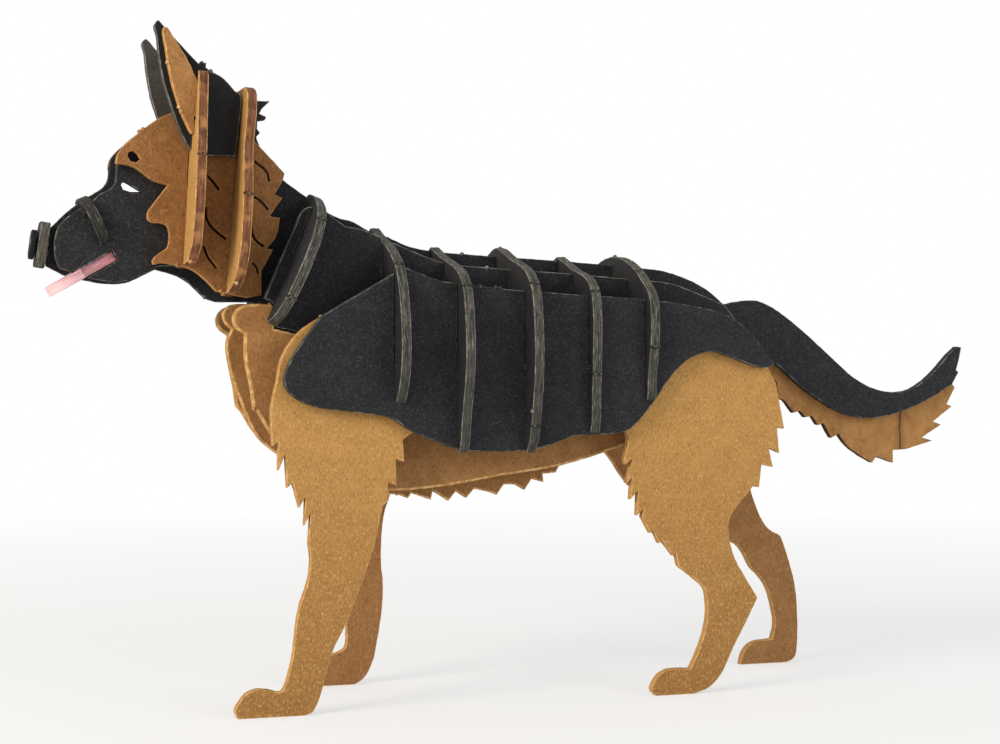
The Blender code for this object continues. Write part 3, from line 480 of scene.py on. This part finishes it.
def lookOf(part):
    own = [look for key, look in ownLooks.items() if key in part["node"]]
    return own[-1] if own else plateLooks[part["material_slot"]]


for part in frame["record"]["subparts"]:
    node = part["node"]
    plate, normal = cutBand(node)
    divideBand(plate)
    roughenBand(plate)
    radius = cutting["crushedMm"].get(node.split("_")[0], cutting["arrisMm"]) * mm
    middle, half = closePlate(plate, normal, radius)
    finishPlate(plate, normal, middle, half)
    addLeftovers(plate, node, normal, middle)
    if any(edge.is_boundary for edge in plate.edges):
        print("board dog: open edge in", node)
    mesh = bpy.data.meshes.new(node + "_board")
    plate.to_mesh(mesh)
    plate.free()
    for look in lookOf(part):
        mesh.materials.append(materials[look])
    piece = bpy.data.objects.new(node + "_board", mesh)
    bpy.context.scene.collection.objects.link(piece)
    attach(piece, "root")
    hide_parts(node)
print("board dog: plates finished")


# Floor, light and camera

studio = {"floorHalf": 4.0, "floorColour": "#f4f4f2", "floorRoughness": 0.9,
          "nearFloor": 0.16, "farFloor": 0.5, "floorGlow": 0.55, "skyStrength": 0.55, "aim": (0, 0, 0.06),
          "keyPlace": (-0.9, -0.45, 0.5), "keySize": 0.5, "keyPower": 8.0, "keyColour": "#fff4e4",
          "fillPlace": (0.75, -0.9, 0.45), "fillSize": 0.7, "fillPower": 4.0, "fillColour": "#f2f5ff"}
camera = {"place": (-0.13258, -0.389, 0.0676), "turn": -18.0, "lens": 72.0, "sensor": 36.0, "shiftUp": -0.013,
          "nearest": 0.01}
white = (1.0, 1.0, 1.0, 1.0)


def seenOnly(tree):
    # 1 for what the camera, a gloss or a glass sees, 0 for the light that reaches the object
    rays = addNode(tree, "ShaderNodeLightPath").outputs
    seen = addNode(tree, "ShaderNodeMath", {0: rays["Is Camera Ray"], 1: rays["Is Glossy Ray"]},
                   operation="MAXIMUM").outputs[0]
    return addNode(tree, "ShaderNodeMath", {0: seen, 1: rays["Is Transmission Ray"]},
                   operation="MAXIMUM").outputs[0]


def makeFloor():
    plane = bmesh.new()
    bmesh.ops.create_grid(plane, x_segments=1, y_segments=1, size=studio["floorHalf"])
    mesh = bpy.data.meshes.new("floor")
    plane.to_mesh(mesh)
    plane.free()
    floor = bpy.data.objects.new("floor", mesh)
    bpy.context.scene.collection.objects.link(floor)
    material = bpy.data.materials.new("paintedFloor")  # matt studio paint that fades into the white backdrop
    material.use_nodes = True
    tree = material.node_tree
    shader = tree.nodes["Principled BSDF"]
    shader.inputs["Base Color"].default_value = srgb(studio["floorColour"])
    shader.inputs["Roughness"].default_value = studio["floorRoughness"]
    glow = addNode(tree, "ShaderNodeEmission", {"Color": white, "Strength": 1.0})
    place = addNode(tree, "ShaderNodeTexCoord").outputs["Object"]
    reach = addNode(tree, "ShaderNodeVectorMath", {0: place}, operation="LENGTH").outputs["Value"]
    fade = addNode(tree, "ShaderNodeMapRange", {"Value": reach, "From Min": studio["nearFloor"],
                                                "From Max": studio["farFloor"], "To Min": studio["floorGlow"],
                                                "To Max": 1.0}).outputs["Result"]
    share = addNode(tree, "ShaderNodeMath", {0: fade, 1: seenOnly(tree)}, operation="MULTIPLY").outputs[0]
    mixed = addNode(tree, "ShaderNodeMixShader", {0: share, 1: shader.outputs[0], 2: glow.outputs[0]})
    tree.links.new(mixed.outputs[0], tree.nodes["Material Output"].inputs["Surface"])
    mesh.materials.append(material)


def makeSky():
    world = bpy.data.worlds.new("studioSky")
    bpy.context.scene.world = world
    world.use_nodes = True
    tree = world.node_tree
    backdrop = tree.nodes["Background"]
    strength = addNode(tree, "ShaderNodeMapRange", {"Value": seenOnly(tree), "To Min": studio["skyStrength"],
                                                    "To Max": 1.0})
    tree.links.new(strength.outputs["Result"], backdrop.inputs["Strength"])
    backdrop.inputs["Color"].default_value = white


def makeLamp(name, place, size, power, colour):
    data = bpy.data.lights.new(name, "AREA")
    data.color = srgb(colour)[:3]
    data.shape = "DISK"
    data.size = size
    data.energy = power
    lamp = bpy.data.objects.new(name, data)
    bpy.context.scene.collection.objects.link(lamp)
    lamp.location = place
    aim = Vector(studio["aim"]) - Vector(place)
    lamp.rotation_euler = aim.to_track_quat("-Z", "Y").to_euler()


def makeCamera():
    data = bpy.data.cameras.new("camera")
    data.lens = camera["lens"]
    data.sensor_width = camera["sensor"]
    data.shift_y = camera["shiftUp"]
    data.clip_start = camera["nearest"]
    lens = bpy.data.objects.new("camera", data)
    bpy.context.scene.collection.objects.link(lens)
    lens.location = camera["place"]
    lens.rotation_euler = (math.radians(90), 0, math.radians(camera["turn"]))
    bpy.context.scene.camera = lens


makeFloor()
makeSky()
for lamp in ("key", "fill"):
    makeLamp(lamp + "Lamp", studio[lamp + "Place"], studio[lamp + "Size"], studio[lamp + "Power"],
             studio[lamp + "Colour"])
makeCamera()
bpy.context.scene.view_settings.view_transform = "Standard"
print("board dog: floor, light and camera placed")
